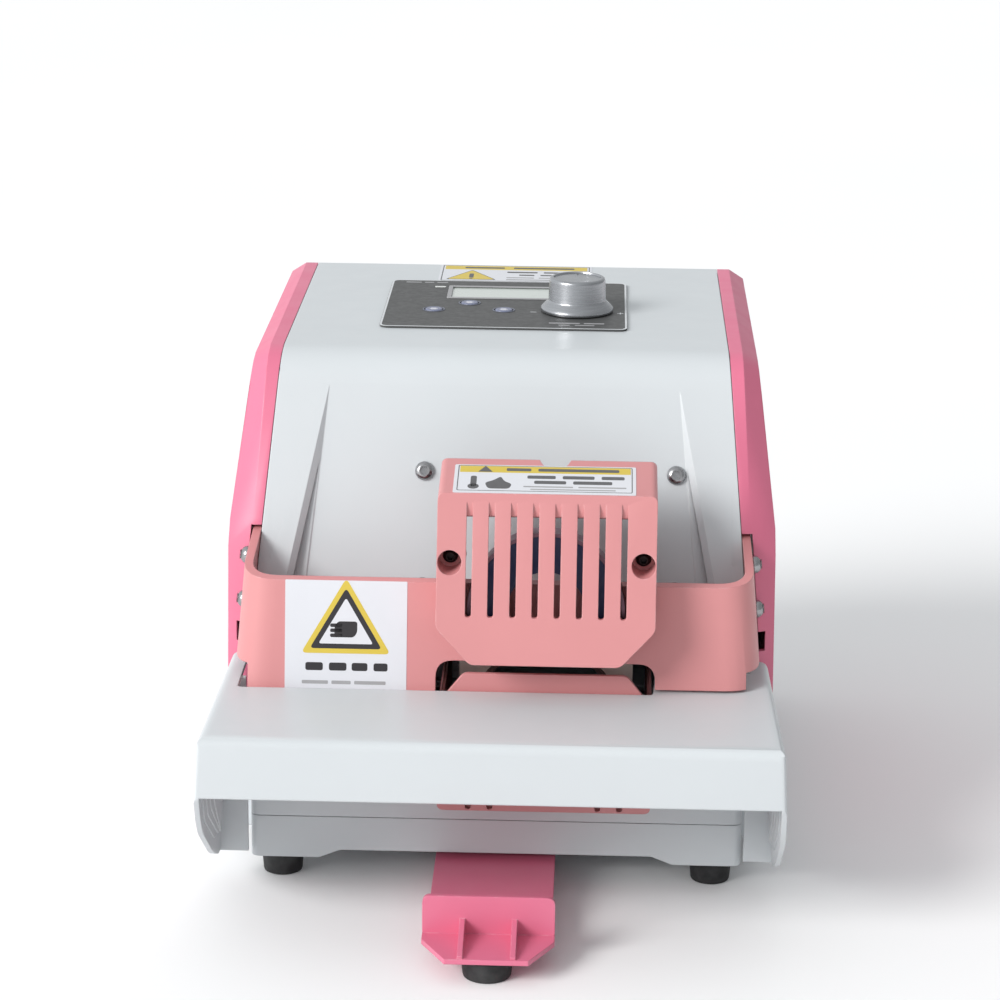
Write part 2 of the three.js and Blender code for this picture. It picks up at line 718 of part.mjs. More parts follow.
function carriage() {
  let block = box(HEAD_X - 70, HEAD_X + 70, 62, 104, CARRIAGE_BOTTOM, CARRIAGE_TOP);
  for (const side of [-1, 1]) {
    block = block.subtract(cylinder(4.5, HEAD_X + side * ROD_X, ROD_Y, 140, 180, 20));
    block = block.subtract(box(HEAD_X + side * 35 - 14, HEAD_X + side * 35 + 14, 88, 105, 140, 180));
  }
  return block.subtract(cylinder(5, HEAD_X, SCREW_Y, 140, 180, 20));
}

function motorPlate() {
  const front = centreFrontY(MOTOR_PLATE_TOP) + 9.6;
  return box(HEAD_X - 72, HEAD_X + 72, front, 118, MOTOR_PLATE_Z, MOTOR_PLATE_TOP)
    .subtract(cylinder(11.5, HEAD_X, SCREW_Y, 230, 250, 24));
}

function headMotor() {
  const half = 21;
  const shape = rectangle(HEAD_X - half, HEAD_X + half, SCREW_Y - half, SCREW_Y + half, 5);
  return alongZ(shape, MOTOR_PLATE_TOP + GAP, MOTOR_TOP, 2);
}

// ---------- Drawer ----------
function traySide(x0, x1) {
  const shape = outline([
    [TRAY_FRONT, TRAY_TOP, 7],
    [TRAY_FRONT, TRAY_LIP_Z, 2],
    [-104, 66, 16],
    [-48, 29, 10],
    [EAR_Y - 6, EAR_BOTTOM, 4],
    [EAR_Y + SHEET, EAR_BOTTOM, 1],
    [EAR_Y + SHEET, 72, 6],
    [TRAY_REAR, 72, 3],
    [TRAY_REAR, TRAY_TOP],
  ]);
  return alongX(shape, x0, x1);
}

// The front apron with its turned lip, and the plate behind it.
function trayTop() {
  const profile = outline([
    [TRAY_FRONT, TRAY_TOP, 7],
    [TRAY_FRONT, TRAY_LIP_Z, 1.5],
    [TRAY_FRONT + 5, TRAY_LIP_Z],
    [TRAY_FRONT + 5, TRAY_LIP_Z + 3],
    [TRAY_FRONT + SHEET, TRAY_LIP_Z + 3],
    [TRAY_FRONT + SHEET, TRAY_TOP - SHEET, 4],
    [TRAY_REAR, TRAY_TOP - SHEET],
    [TRAY_REAR, TRAY_TOP],
  ]);
  const mouth = outline([
    [-ARM_INNER, TRAY_REAR + 1],
    [-ARM_INNER, PLATE_REAR, 3],
    [HEAD_X + 61.5, PLATE_REAR, 3],
    [HEAD_X + 63.5, PLATE_RIGHT_REAR],
    [ARM_INNER, PLATE_RIGHT_REAR, 3],
    [ARM_INNER, TRAY_REAR + 1],
  ]);
  return alongX(profile, -TRAY_HALF, TRAY_HALF).subtract(alongZ(mouth, 100, TRAY_TOP + 1));
}

function trayCover() {
  let cover = trayTop();
  for (const side of [-1, 1]) {
    const inner = side * (TRAY_HALF - SHEET);
    const walls = [side * TRAY_HALF, inner];
    const ears = [side * (BASE_HALF + 1.2), inner + side];
    const ear = box(Math.min(...ears), Math.max(...ears), EAR_Y, EAR_Y + SHEET, EAR_BOTTOM, TRAY_TOP - 1);
    cover = cover.add(traySide(Math.min(...walls), Math.max(...walls))).add(ear);
  }
  const corners = alongZ(rectangle(-TRAY_HALF, TRAY_HALF, TRAY_FRONT, 60, 3), 0, TRAY_TOP + 1);
  const shoulders = alongY(rectangle(-TRAY_HALF, TRAY_HALF, -20, TRAY_TOP, TRAY_SHOULDER), TRAY_FRONT - 1, 60);
  return warped(cover.intersect(corners).intersect(shoulders), (p) => {
    const out = TRAY_FLARE * (TRAY_TOP - p.z) + TRAY_SPREAD * (TRAY_REAR - p.y);
    if (Math.abs(p.x) > ARM_INNER) p.x += Math.sign(p.x) * out;
  });
}

function lowerGuard() {
  const half = LOWER_GUARD_HALF;
  const face = (inset) =>
    outline([
      [HEAD_X - half + inset, LOWER_GUARD_BOTTOM + inset, 4],
      [HEAD_X + half - inset, LOWER_GUARD_BOTTOM + inset, 4],
      [HEAD_X + half - inset, LOWER_GUARD_TOP - 19, 3],
      [HEAD_X + half - 15, LOWER_GUARD_TOP, 3],
      [HEAD_X - half + 15, LOWER_GUARD_TOP, 3],
      [HEAD_X - half + inset, LOWER_GUARD_TOP - 19, 3],
    ]);
  const rear = 88;
  const open = box(HEAD_X - half + 1.5, HEAD_X + half - 1.5, LOWER_GUARD_FRONT + GUARD_WALL, rear + 1, 117, 150);
  const inside = alongY(face(GUARD_WALL), LOWER_GUARD_FRONT + GUARD_WALL, rear + 1).add(open);
  let guard = alongY(face(0), LOWER_GUARD_FRONT, rear).subtract(inside);
  for (let i = 0; i < 8; i += 1) {
    const outside = i < 2 || i > 5;
    const x = HEAD_X + (i - 3.5) * SLOT_PITCH;
    const bottom = outside ? LOWER_GUARD_BOTTOM + 0.9 : LOWER_GUARD_BOTTOM + 22;
    guard = guard.subtract(slotCutter(x, bottom, 117, LOWER_GUARD_FRONT - 2, LOWER_GUARD_FRONT + 4));
  }
  return guard;
}

function runner(side) {
  const x = side * 134;
  return box(x - 2.6, x + 2.6, TRAY_FRONT + SHEET + GAP, 150, 96.2, 105.2);
}

function fixedRail(side) {
  const x = side * 138.7;
  return box(x - 1.5, x + 1.5, -11, 210, 94, 107);
}

// ---------- Stabiliser ----------
function stabiliserArm() {
  const tongue = box(-TONGUE_HALF, TONGUE_HALF, TAB_Y + 1, 150, TONGUE_BOTTOM, TONGUE_TOP);
  const tab = alongY(rectangle(-36.8, 36.8, TONGUE_BOTTOM, 38, 5), TAB_Y, TAB_Y + SHEET);
  const platform = alongZ(
    outline([
      [-36.8, TAB_Y + 2],
      [-36.8, -129],
      [-23, PLATFORM_FRONT],
      [23, PLATFORM_FRONT],
      [36.8, -129],
      [36.8, TAB_Y + 2],
    ]),
    TONGUE_BOTTOM,
    TONGUE_TOP - 0.5,
  );
  let arm = tongue.add(tab).add(platform);
  for (const x of [-14.5, 14.5]) {
    const rib = outline([
      [TAB_Y + 1, TONGUE_TOP - 1],
      [TAB_Y + 1, 25],
      [PLATFORM_FRONT + 1, TONGUE_TOP + 1],
      [PLATFORM_FRONT + 1, TONGUE_TOP - 1],
    ]);
    arm = arm.add(alongX(rib, x - 1.5, x + 1.5));
  }
  return arm;
}

function stabiliserGuide() {
  let guide = null;
  for (const side of [-1, 1]) {
    const x0 = Math.min(side * 35.7, side * 42);
    const rail = box(x0, x0 + 6.3, 12, 190, 9, 19.6);
    guide = guide ? guide.add(rail) : rail;
  }
  return guide.add(box(-42, 42, 12, 30, 9, 11.8)).add(box(-42, 42, 160, 178, 9, 11.8));
}

// ---------- Controls ----------
function panelOverlay() {
  const shape = rectangle(PANEL_X - PANEL_HALF, PANEL_X + PANEL_HALF, PANEL_FRONT, PANEL_REAR, 6);
  let overlay = alongZ(shape, TOP + 0.3, TOP + 1.3, 4);
  const [dx0, dx1, dy0, dy1] = DISPLAY;
  overlay = overlay.subtract(box(dx0 - 0.5, dx1 + 0.5, dy0 - 0.5, dy1 + 0.5, TOP - 1, TOP + 3));
  for (const [x, y] of KEYS) {
    overlay = overlay.subtract(cylinder(KEY_RADIUS + 0.4, x, y, TOP - 1, TOP + 3, 24));
  }
  return overlay.subtract(cylinder(4.4, ...KNOB, TOP - 1, TOP + 3, 20));
}

function knobSolid() {
  const bottom = TOP + 1.8;
  const points = [
    [0, 4],
    [4.2, 4],
    [4.2, 0],
    [22.5, 0],
    [22.5, 1.2],
    [18.6, 5.2],
    [17.5, 6.2],
    [17.4, 20.2],
    [16.4, 21.2],
    [15, 21.2],
    [14.6, 20.7],
    [0, 20.7],
  ].map(([r, z]) => new THREE.Vector2(r, z));
  return solid(new THREE.LatheGeometry(points, 40).rotateX(Math.PI / 2).translate(...KNOB, bottom));
}

function encoder() {
  const [x, y] = KNOB;
  return box(x - 7, x + 7, y - 7, y + 7, 284, 293.4).add(cylinder(3.4, x, y, 293, TOP + 5, 16));
}

function key([x, y]) {
  return cylinder(KEY_RADIUS, x, y, 291, TOP + 1.9, 24)
    .add(cylinder(KEY_RADIUS + 1.2, x, y, 290, 292.5, 24));
}

// ---------- Rear ----------
function rearPanel() {
  const z0 = BASE_TOP + GAP;
  const z1 = TOP - SHEET - GAP;
  const half = (z) => shellHalf(z) - SHEET - GAP;
  let panel = alongY(
    outline([
      [-half(z0) + 6, z0],
      [half(z0) - 6, z0],
      [half(z1) - 1, z1],
      [-half(z1) + 1, z1],
    ]),
    313,
    316,
  );
  panel = panel.subtract(box(...INLET_HOLE, 310, 320, 140.4, 166.6));
  for (let row = 0; row < 9; row += 1) {
    for (const x of [-42, 42]) {
      panel = panel.subtract(box(x - 32, x + 32, 310, 320, 196 + row * 8, 199 + row * 8));
    }
  }
  return panel;
}

const INLET_HOLE = [-102.4, -31.6];

function powerInlet() {
  const [x0, x1] = INLET_HOLE;
  const flange = alongY(rectangle(x0 - 3, x1 + 3, 137, 170, 3), 316.4, 319);
  const body = box(x0 + 0.4, x1 - 0.4, 292, 317, 140.8, 166.2);
  const socket = box(-100, -73, 300, 321, 144, 163);
  const switchWell = box(-68.4, -52.6, 302, 321, 142.4, 164.6);
  const fuseWell = box(-49, -35, 300, 321, 145.4, 161.6);
  const pins = box(-94, -92, 296, 316, 151, 156)
    .add(box(-81, -79, 296, 316, 151, 156))
    .add(box(-87.5, -85.5, 296, 316, 157, 161));
  return flange.add(body).subtract(socket).subtract(switchWell).subtract(fuseWell).add(pins);
}

function powerSwitch() {
  const shape = outline([
    [306, 146],
    [318.4, 146],
    [317.2, 153.5],
    [320.4, 161],
    [308, 161],
  ]);
  return alongX(shape, -67.6, -53.4);
}

function fuseDrawer() {
  return box(-48.6, -35.4, 301, 318.6, 145.8, 161.2).add(box(-45, -39, 318, REARMOST, 150, 157));
}

// ---------- The assembly ----------
const press = new THREE.Group();
press.position.y = -CENTRE_OF_BOX;

function put(name, body, colour) {
  const mesh = withColour(geometryOf(body), colour);
  mesh.name = name;
  press.add(mesh);
}

const BOTH_SIDES = [
  ["left", -1],
  ["right", 1],
];

put("base_lower", baseLower(), WHITE);
put("base_upper", baseUpper(), WHITE);
for (const [name, side] of BOTH_SIDES) {
  put(`foot_front_${name}`, foot(side * FOOT_X, 0), BLACK_RUBBER);
  put(`foot_rear_${name}`, foot(side * FOOT_X, FOOT_REAR_Y), BLACK_RUBBER);
}
put("front_shell", frontShell(), WHITE);
const rightPanel = rightSidePanel();
put("side_panel_right", rightPanel, PINK);
put("side_panel_left", mirrored(rightPanel), PINK);
put("rear_panel", rearPanel(), WHITE);
put("band", band(), SALMON);
bandScrewPlaces().forEach(([side, y, z], i) => {
  const name = `band_screw_${side < 0 ? "left" : "right"}_${i % 2 ? "lower" : "upper"}`;
  put(name, bandScrew(side, y, z), STEEL);
});
shellScrewPlaces().forEach(([x, z], i) => {
  const name = `shell_screw_${i < 2 ? "lower" : "upper"}_${i % 2 ? "right" : "left"}`;
  put(name, shellScrew(x, z), STEEL);
});
put("upper_guard", upperGuard(), SALMON);
for (const [name, side] of BOTH_SIDES) put(`guard_screw_${name}`, guardScrew(side), STEEL);
const SEAL_Z = 177;
put("end_seal", horseshoe(22.4, 42.2, SEAL_Z, 17, -40, -30), [0x23305e, 0.6, 0.0]);
put("seal_clip", horseshoe(42.6, 44.6, SEAL_Z, 17, -41, -29.5), [0x54414c, 0.4, 0.6]);

put("guide_plate", guidePlate(), STEEL);
for (const [name, side] of BOTH_SIDES) {
  put(`guide_rod_${name}`, cylinder(4, HEAD_X + side * ROD_X, ROD_Y, 147.3, 235.6, 24), STEEL);
  put(`rod_foot_${name}`, rodFoot(side), STEEL);
}
put("motor_plate", motorPlate(), STEEL);
put("head_motor", headMotor(), DARK_PLASTIC);
put("lead_screw", cylinder(4, HEAD_X, SCREW_Y, 146, 241, 24), STEEL);
put("carriage", carriage(), [0xa8abae, 0.4, 0.9]);
put(
  "screw_nut",
  cylinder(10.5, HEAD_X, SCREW_Y, CARRIAGE_TOP + GAP, 178, 24)
    .subtract(cylinder(4.5, HEAD_X, SCREW_Y, 170, 180, 24)),
  [0xb08d4f, 0.35, 1.0],
);
put("upper_heater", halfPipe(true, HEATER_FRONT, HEATER_REAR), [0x6d5a5a, 0.5, 0.6]);
put(
  "upper_saddle",
  saddle(HEAD_X - 50, HEAD_X + 50, MUG_Z + 2, SADDLE_TOP, HEATER_FRONT + 2, HEATER_REAR - 2),
  [0xc9c5bb, 0.8, 0.0],
);

put("tray_cover", trayCover(), WHITE);
put("lower_guard", lowerGuard(), SALMON);
put("lower_heater", halfPipe(false, -30, HEATER_REAR), [0x6d5a5a, 0.5, 0.6]);
put("lower_saddle", saddle(HEAD_X - 50, HEAD_X + 50, SADDLE_BOTTOM, MUG_Z - 2, -28, 82), [0xc9c5bb, 0.8, 0.0]);
for (const [name, side] of BOTH_SIDES) {
  put(`tray_runner_${name}`, runner(side), STEEL);
  put(`drawer_rail_${name}`, fixedRail(side), STEEL);
}

put("stabiliser_arm", stabiliserArm(), PINK);
put("stabiliser_foot", cylinder(13.4, 0, STAB_FOOT_Y, 0, TONGUE_BOTTOM - GAP, 28, 14.6), BLACK_RUBBER);
put("stabiliser_guide", stabiliserGuide(), STEEL);

put("panel_overlay", panelOverlay(), GREY_PANEL);
const [windowX0, windowX1, windowY0, windowY1] = DISPLAY;
put("display", box(windowX0, windowX1, windowY0, windowY1, 288, TOP + 1), [0xb9c4b8, 0.2, 0.0]);
put("knob", knobSolid(), [0xc6c9cc, 0.3, 1.0]);
put("knob_encoder", encoder(), DARK_PLASTIC);
KEYS.forEach((place, i) => {
  put(`key_${["left", "middle", "right"][i]}`, key(place), [0x7f8da0, 0.5, 0.0]);
});
put("control_board", box(-72, 64, 150, 262, 281, 282.6), [0x1f6b45, 0.6, 0.0]);
put("power_supply", box(-120, -20, 185, 285, 54.4, 92), [0xb4b6b8, 0.4, 0.9]);

put("power_inlet", powerInlet(), DARK_PLASTIC);
put("power_switch", powerSwitch(), DARK_PLASTIC);
put("fuse_drawer", fuseDrawer(), DARK_PLASTIC);

export default press;
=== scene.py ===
import json
import math

import bmesh
import bpy
from mathutils import Matrix, Vector


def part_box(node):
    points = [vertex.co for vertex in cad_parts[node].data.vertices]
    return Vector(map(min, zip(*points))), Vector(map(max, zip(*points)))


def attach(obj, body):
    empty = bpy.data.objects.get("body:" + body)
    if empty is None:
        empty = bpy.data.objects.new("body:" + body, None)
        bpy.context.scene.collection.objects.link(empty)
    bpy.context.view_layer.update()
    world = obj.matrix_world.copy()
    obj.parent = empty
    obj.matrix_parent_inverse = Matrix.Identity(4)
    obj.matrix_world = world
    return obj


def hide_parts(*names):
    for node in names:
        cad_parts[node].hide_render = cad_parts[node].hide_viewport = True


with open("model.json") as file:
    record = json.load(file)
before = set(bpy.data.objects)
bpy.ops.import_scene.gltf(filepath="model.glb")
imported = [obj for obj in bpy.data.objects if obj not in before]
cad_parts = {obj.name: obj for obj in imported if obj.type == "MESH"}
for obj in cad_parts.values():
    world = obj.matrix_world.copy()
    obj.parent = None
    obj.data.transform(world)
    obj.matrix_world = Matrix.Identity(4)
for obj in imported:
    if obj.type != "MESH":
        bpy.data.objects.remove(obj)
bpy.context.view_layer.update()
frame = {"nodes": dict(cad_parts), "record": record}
NODES = frame["nodes"]

# Everything below is in millimetres until it becomes a mesh.
MM = 0.001


def box_mm(node):
    low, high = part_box(node)
    return low / MM, high / MM


# ---------- Surfaces that pieces are placed on ----------
BAND_LEAN = 0.176  # run for each mm of rise of the band's front
GUARD_TOP_SLOPE = 0.2
GUARD_TOP_FRONT_Z = 243.5  # front edge of the guard's sloping top
HEAD_X = sum(corner.x for corner in box_mm("upper_guard")) / 2


# ---------- Meshes ----------
def mesh_object(name, verts, faces, smooth_angle=35.0):
    mesh = bpy.data.meshes.new(name)
    mesh.from_pydata([Vector(v) * MM for v in verts], [], faces)
    work = bmesh.new()
    work.from_mesh(mesh)
    bmesh.ops.remove_doubles(work, verts=work.verts, dist=1e-6)
    bmesh.ops.recalc_face_normals(work, faces=work.faces)
    work.to_mesh(mesh)
    work.free()
    mesh.shade_smooth()
    mesh.set_sharp_from_angle(angle=math.radians(smooth_angle))
    made = bpy.data.objects.new(name, mesh)
    bpy.context.scene.collection.objects.link(made)
    return made


def joined(name, shapes, smooth_angle=35.0):
    """One object from several (verts, faces) shapes."""
    verts, faces = [], []
    for shape_verts, shape_faces in shapes:
        base = len(verts)
        verts += shape_verts
        faces += [[base + i for i in face] for face in shape_faces]
    return mesh_object(name, verts, faces, smooth_angle)


def lathe(profile, segments, at=(0, 0, 0), direction=(0, 0, 1)):
    """A closed turned shape. The profile is (radius, height) points from axis to axis."""
    turn = Vector((0, 0, 1)).rotation_difference(Vector(direction).normalized())
    verts, faces = [], []
    rings = []
    for radius, height in profile:
        if radius < 1e-6:
            rings.append([len(verts)] * segments)
            verts.append((0, 0, height))
            continue
        rings.append(list(range(len(verts), len(verts) + segments)))
        for i in range(segments):
            angle = math.tau * i / segments
            verts.append((radius * math.cos(angle), radius * math.sin(angle), height))
    for lower, upper in zip(rings, rings[1:]):
        for i in range(segments):
            j = (i + 1) % segments
            face = []
            for index in (lower[i], lower[j], upper[j], upper[i]):
                if index not in face:
                    face.append(index)
            if len(face) > 2:
                faces.append(face)
    return [turn @ Vector(v) + Vector(at) for v in verts], faces


def rounded(points, radius, steps=5):
    """The outline with each corner rounded."""
    outline = []
    count = len(points)
    for i, point in enumerate(points):
        corner = Vector(point)
        before = (Vector(points[i - 1]) - corner).normalized()
        after = (Vector(points[(i + 1) % count]) - corner).normalized()
        start, end = corner + before * radius, corner + after * radius
        for step in range(steps + 1):
            t = step / steps
            outline.append((1 - t) ** 2 * start + 2 * t * (1 - t) * corner + t * t * end)
    return outline


def rectangle(x0, x1, y0, y1, radius=0.0):
    corners = [(x0, y0), (x1, y0), (x1, y1), (x0, y1)]
    return rounded(corners, radius) if radius else [Vector(c) for c in corners]


def circle(x, y, radius, count):
    angles = [math.tau * i / count for i in range(count)]
    return [Vector((x + radius * math.cos(a), y + radius * math.sin(a))) for a in angles]


def level(x, y, z):
    """The level plane through a point: its origin, across and up."""
    return (x, y, z), (1, 0, 0), (0, 1, 0)


def prism(outline, low, high, plane):
    """An outline in a plane, pulled from one height over it to another."""
    origin, across, up = (Vector(v) for v in plane)
    out = across.cross(up).normalized()
    verts = []
    for height in (low, high):
        verts += [origin + across * p[0] + up * p[1] + out * height for p in outline]
    count = len(outline)
    faces = [list(range(count))[::-1], list(range(count, 2 * count))]
    faces += [[i, (i + 1) % count, count + (i + 1) % count, count + i] for i in range(count)]
    return verts, faces


def ring_prism(outer, inner, low, high, plane):
    """The strip between two outlines with the same number of points."""
    origin, across, up = (Vector(v) for v in plane)
    out = across.cross(up).normalized()
    verts = []
    for outline in (outer, inner):
        for height in (low, high):
            verts += [origin + across * p[0] + up * p[1] + out * height for p in outline]
    count = len(outer)
    faces = []
    for i in range(count):
        j = (i + 1) % count
        faces.append([i, j, count + j, count + i])
        faces.append([2 * count + j, 2 * count + i, 3 * count + i, 3 * count + j])
        faces.append([count + i, count + j, 3 * count + j, 3 * count + i])
        faces.append([j, i, 2 * count + i, 2 * count + j])
    return verts, faces


def bars(rows, plane, low, high):
    """Grey bars in place of lettering: each row is (y, thickness, [(x0, x1), ...])."""
    shapes = []
    for y, thickness, spans in rows:
        half, corner = thickness / 2, thickness * 0.3
        for x0, x1 in spans:
            shapes.append(prism(rectangle(x0, x1, y - half, y + half, corner), low, high, plane))
    return shapes


def smoothed(obj, angle=32.0):
    """Shades gentle bends smooth and keeps edges sharp, without touching the mesh."""
    weld = obj.modifiers.new("weld", "WELD")
    weld.merge_threshold = 2e-5
    shading = obj.modifiers.new("shading", "NODES")
    shading.node_group = shading_group(angle)


def shading_group(angle):
    name = f"shade_{angle:.0f}"
    if name in bpy.data.node_groups:
        return bpy.data.node_groups[name]
    group = bpy.data.node_groups.new(name, "GeometryNodeTree")
    group.interface.new_socket("Geometry", in_out="INPUT", socket_type="NodeSocketGeometry")
    group.interface.new_socket("Geometry", in_out="OUTPUT", socket_type="NodeSocketGeometry")
    source = group.nodes.new("NodeGroupInput")
    sink = group.nodes.new("NodeGroupOutput")
    bend = group.nodes.new("GeometryNodeInputMeshEdgeAngle")
    gentle = group.nodes.new("FunctionNodeCompare")
    gentle.data_type = "FLOAT"
    gentle.operation = "LESS_THAN"
    gentle.inputs[1].default_value = math.radians(angle)
    faces = group.nodes.new("GeometryNodeSetShadeSmooth")
    edges = group.nodes.new("GeometryNodeSetShadeSmooth")
    edges.domain = "EDGE"
    links = group.links
    links.new(source.outputs[0], faces.inputs["Geometry"])
    links.new(faces.outputs[0], edges.inputs["Geometry"])
    links.new(bend.outputs["Unsigned Angle"], gentle.inputs[0])
    links.new(gentle.outputs[0], edges.inputs["Shade Smooth"])
    links.new(edges.outputs[0], sink.inputs[0])
    return group


def bevelled(obj, width, segments=3, angle=30.0):
    """Real rounded edges, for the pieces made here."""
    bevel = obj.modifiers.new("edges", "BEVEL")
    bevel.width = width * MM
    bevel.segments = segments
    bevel.limit_method = "ANGLE"
    bevel.angle_limit = math.radians(angle)


# ---------- Materials ----------
class Recipe:
    """A node material that is built step by step."""

    def __init__(self, name, metallic=0.0):
        self.material = bpy.data.materials.new(name)
        self.material.use_nodes = True
        self.tree = self.material.node_tree
        self.shader = self.tree.nodes["Principled BSDF"]
        self.shader.inputs["Metallic"].default_value = metallic
        self.place = self.node("ShaderNodeTexCoord").outputs["Object"]
        self.height = None

    def node(self, kind, **inputs):
        made = self.tree.nodes.new(kind)
        for key, value in inputs.items():
            self.set(made, key, value)
        return made

    def set(self, node, key, value):
        """Sets or links an input, named with _ for each space, or _ and its number."""
        socket = node.inputs[int(key[1:])] if key[0] == "_" else node.inputs[key.replace("_", " ")]
        if isinstance(value, bpy.types.NodeSocket):
            self.tree.links.new(value, socket)
        else:
            socket.default_value = value

    def noise(self, scale, detail=3.0, stretch=(1, 1, 1), seed=0.0):
        offset = (seed, seed * 0.7, 0)
        shift = self.node("ShaderNodeMapping", Vector=self.place, Scale=stretch, Location=offset)
        made = self.node("ShaderNodeTexNoise", Vector=shift.outputs[0], Scale=scale, Detail=detail)
        return made.outputs[0]

    def spread(self, value, low, high, from_low=0.3, from_high=0.7):
        made = self.node("ShaderNodeMapRange", Value=value, To_Min=low, To_Max=high)
        made.inputs["From Min"].default_value = from_low
        made.inputs["From Max"].default_value = from_high
        return made.outputs[0]

    def mix(self, share, first, second):
        made = self.tree.nodes.new("ShaderNodeMix")
        made.data_type = "RGBA"
        self.set(made, "_0", share)
        self.set(made, "_6", first)
        self.set(made, "_7", second)
        return made.outputs[2]

    def edges(self, radius, seed):
        """One along edges and zero on flat faces, broken up by noise."""
        bent = self.node("ShaderNodeBevel", Radius=radius * MM)
        bent.samples = 4
        plain = self.node("ShaderNodeNewGeometry").outputs["Normal"]
        dot = self.tree.nodes.new("ShaderNodeVectorMath")
        dot.operation = "DOT_PRODUCT"
        self.set(dot, "_0", bent.outputs[0])
        self.set(dot, "_1", plain)
        along = self.spread(dot.outputs["Value"], 1.0, 0.0, 0.82, 0.985)
        broken = self.spread(self.noise(160, 4, seed=seed), 0.0, 1.0, 0.46, 0.62)
        both = self.tree.nodes.new("ShaderNodeMath")
        both.operation = "MULTIPLY"
        self.set(both, "_0", along)
        self.set(both, "_1", broken)
        return both.outputs[0]

    def bump(self, value, strength, distance):
        made = self.node("ShaderNodeBump", Height=value, Strength=strength, Distance=distance * MM)
        if self.height is not None:
            self.set(made, "Normal", self.height)
        self.height = made.outputs[0]

    def rounded(self, radius):
        """Softens the shading over sharp edges."""
        soft = self.node("ShaderNodeBevel", Radius=radius * MM)
        soft.samples = 6
        self.height = soft.outputs[0]

    def finish(self, colour, roughness):
        self.set(self.shader, "Base Color", colour)
        self.set(self.shader, "Roughness", roughness)
        if self.height is not None:
            self.set(self.shader, "Normal", self.height)
        return self.material


def shade(colour, factor):
    return (*(min(1.0, c * factor) for c in colour), 1.0)


def plastic(name, colour, roughness, seed, variation=0.03, grain=0.05, wear=0.35, coat=0.0):
    """Moulded plastic: cloudy colour, fine grain and paler edges."""
    made = Recipe(name)
    made.rounded(0.8)
    cloud = made.spread(made.noise(11, 4, seed=seed), 0, 1)
    base = made.mix(cloud, shade(colour, 1 - variation), shade(colour, 1 + variation))
    worn = made.edges(1.2, seed)
    share = made.spread(worn, 0.0, wear, 0.0, 1.0)
    pale = tuple(c * 0.6 + 0.4 for c in colour)
    base = made.mix(share, base, shade(pale, 1.0))
    rough = made.spread(made.noise(55, 5, seed=seed + 3), roughness - 0.05, roughness + 0.06)
    made.bump(made.noise(1500, 2, seed=seed), grain, 0.12)
    made.bump(made.noise(24, 2, seed=seed + 5), grain * 0.5, 0.5)
    made.shader.inputs["Coat Weight"].default_value = coat
    made.shader.inputs["Coat Roughness"].default_value = 0.25
    return made.finish(base, rough)


def metal(name, colour, roughness, stretch=(1, 1, 1), grain=0.08, scale=420, uneven=0.09):
    """Metal with a drawn or turned grain."""
    made = Recipe(name, metallic=1.0)
    lines = made.noise(scale, 4, stretch, seed=2.0)
    base = made.mix(made.spread(lines, 0, 1), shade(colour, 0.9), shade(colour, 1.08))
    patches = made.noise(scale * 0.4, 4, stretch, seed=3.0)
    rough = made.spread(patches, roughness - uneven, roughness + uneven)
    made.bump(lines, grain, 0.05)
    return made.finish(base, rough)


def rubber(name, colour, roughness=0.72, seed=4.0):
    """Matt rubber with a dusty bloom."""
    made = Recipe(name)
    bloom = made.spread(made.noise(70, 6, seed=seed), 0, 1, 0.4, 0.75)
    dusty = tuple(c * 0.8 + 0.035 for c in colour)
    base = made.mix(bloom, shade(colour, 1.0), shade(dusty, 1.0))
    rough = made.spread(made.noise(240, 3, seed=seed), roughness - 0.08, roughness + 0.1)
    made.bump(made.noise(900, 3, seed=seed), 0.12, 0.15)
    return made.finish(base, rough)


def film(name, colour, roughness, variation, seed=6.0):
    """Printed film, flat and slightly uneven."""
    made = Recipe(name)
    cloud = made.spread(made.noise(40, 4, seed=seed), 0, 1)
    base = made.mix(cloud, shade(colour, 1 - variation), shade(colour, 1 + variation))
    rough = made.spread(made.noise(300, 3, seed=seed), roughness - 0.06, roughness + 0.06)
    made.bump(made.noise(700, 2, seed=seed), 0.04, 0.05)
    return made.finish(base, rough)


WHITE = (0.565, 0.595, 0.615)
PINK = (0.66, 0.16, 0.26)
SALMON = (0.60, 0.245, 0.25)

LENGTHWAYS = (1, 30, 1)
UPRIGHT = (1, 1, 30)

